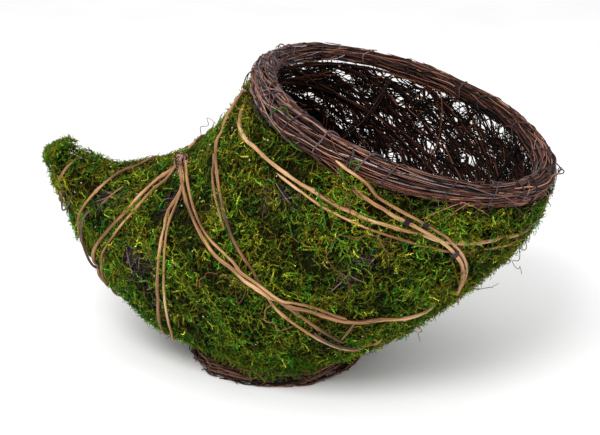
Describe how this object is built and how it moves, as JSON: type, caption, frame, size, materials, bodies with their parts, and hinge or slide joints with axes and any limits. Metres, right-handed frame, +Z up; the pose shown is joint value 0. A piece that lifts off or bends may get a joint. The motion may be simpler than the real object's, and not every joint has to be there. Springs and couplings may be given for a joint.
{
  "type": "moss horn basket",
  "caption": "Cornucopia-shaped twig basket with an open slanted mouth, covered in moss, bound with vines and standing on a twig foot ring.",
  "frame": {"origin": "on the ground under the middle of the basket's length and width", "axes": "+Z up; +X toward the open mouth, -X toward the curled tail; the front that carries most of the vines faces -Y"},
  "size_m": [0.5292, 0.3154, 0.3163],
  "materials": {
    "moss": "dried sheet moss, matte, loose fronds",
    "rim_twig": "thin peeled twigs, dull purple-brown",
    "wicker": "very thin dark twigs, dull",
    "foot_twig": "thin dark twigs, dull",
    "frame_twig": "dark bare twig",
    "lashing": "dark split-twig binding, dull",
    "vine": "tan vine with bark streaks, satin",
    "tendril": "dry curly rootlet",
    "knot_fibre": "rough dry fibre"
  },
  "bodies": {
    "root": {"body_hoop_1": "frame_twig", "body_hoop_2": "frame_twig", "body_hoop_3": "frame_twig", "fibre_knot": "knot_fibre", "foot_coil_lower": "foot_twig", "foot_coil_upper": "foot_twig", "moss_belly_back": "moss", "moss_belly_front": "moss", "moss_belly_underside": "moss", "moss_mouth_back": "moss", "moss_mouth_front": "moss", "moss_mouth_top": "moss", "moss_mouth_underside": "moss", "moss_tail_tip": "moss", "moss_tail_top": "moss", "moss_tail_underside": "moss", "moss_waist_back": "moss", "moss_waist_front": "moss", "rib_1": "frame_twig", "rib_2": "frame_twig", "rib_3": "frame_twig", "rib_4": "frame_twig", "rib_5": "frame_twig", "rim_core_hoop": "frame_twig", "rim_lashing_1": "lashing", "rim_lashing_10": "lashing", "rim_lashing_11": "lashing", "rim_lashing_12": "lashing", "rim_lashing_2": "lashing", "rim_lashing_3": "lashing", "rim_lashing_4": "lashing", "rim_lashing_5": "lashing", "rim_lashing_6": "lashing", "rim_lashing_7": "lashing", "rim_lashing_8": "lashing", "rim_lashing_9": "lashing", "rim_strand_1": "rim_twig", "rim_strand_2": "rim_twig", "rim_strand_3": "rim_twig", "rim_strand_4": "rim_twig", "tendril_belly_drop": "tendril", "tendril_mouth_drop": "tendril", "tendril_mouth_side": "tendril", "tendril_waist_arc": "tendril", "vine_belly_inner": "vine", "vine_belly_outer": "vine", "vine_foot_hook": "vine", "vine_knot_tail_lower": "vine", "vine_knot_tail_upper": "vine", "vine_rim_stem_inner": "vine", "vine_rim_stem_outer": "vine", "vine_shoulder_inner": "vine", "vine_shoulder_outer": "vine", "vine_tail_tip_band": "vine", "vine_tail_wrap": "vine", "vine_valley_long": "vine", "vine_valley_short": "vine", "vine_waist_front": "vine", "vine_waist_rear": "vine", "wicker_wall": "wicker"}
  },
  "joints": []
}
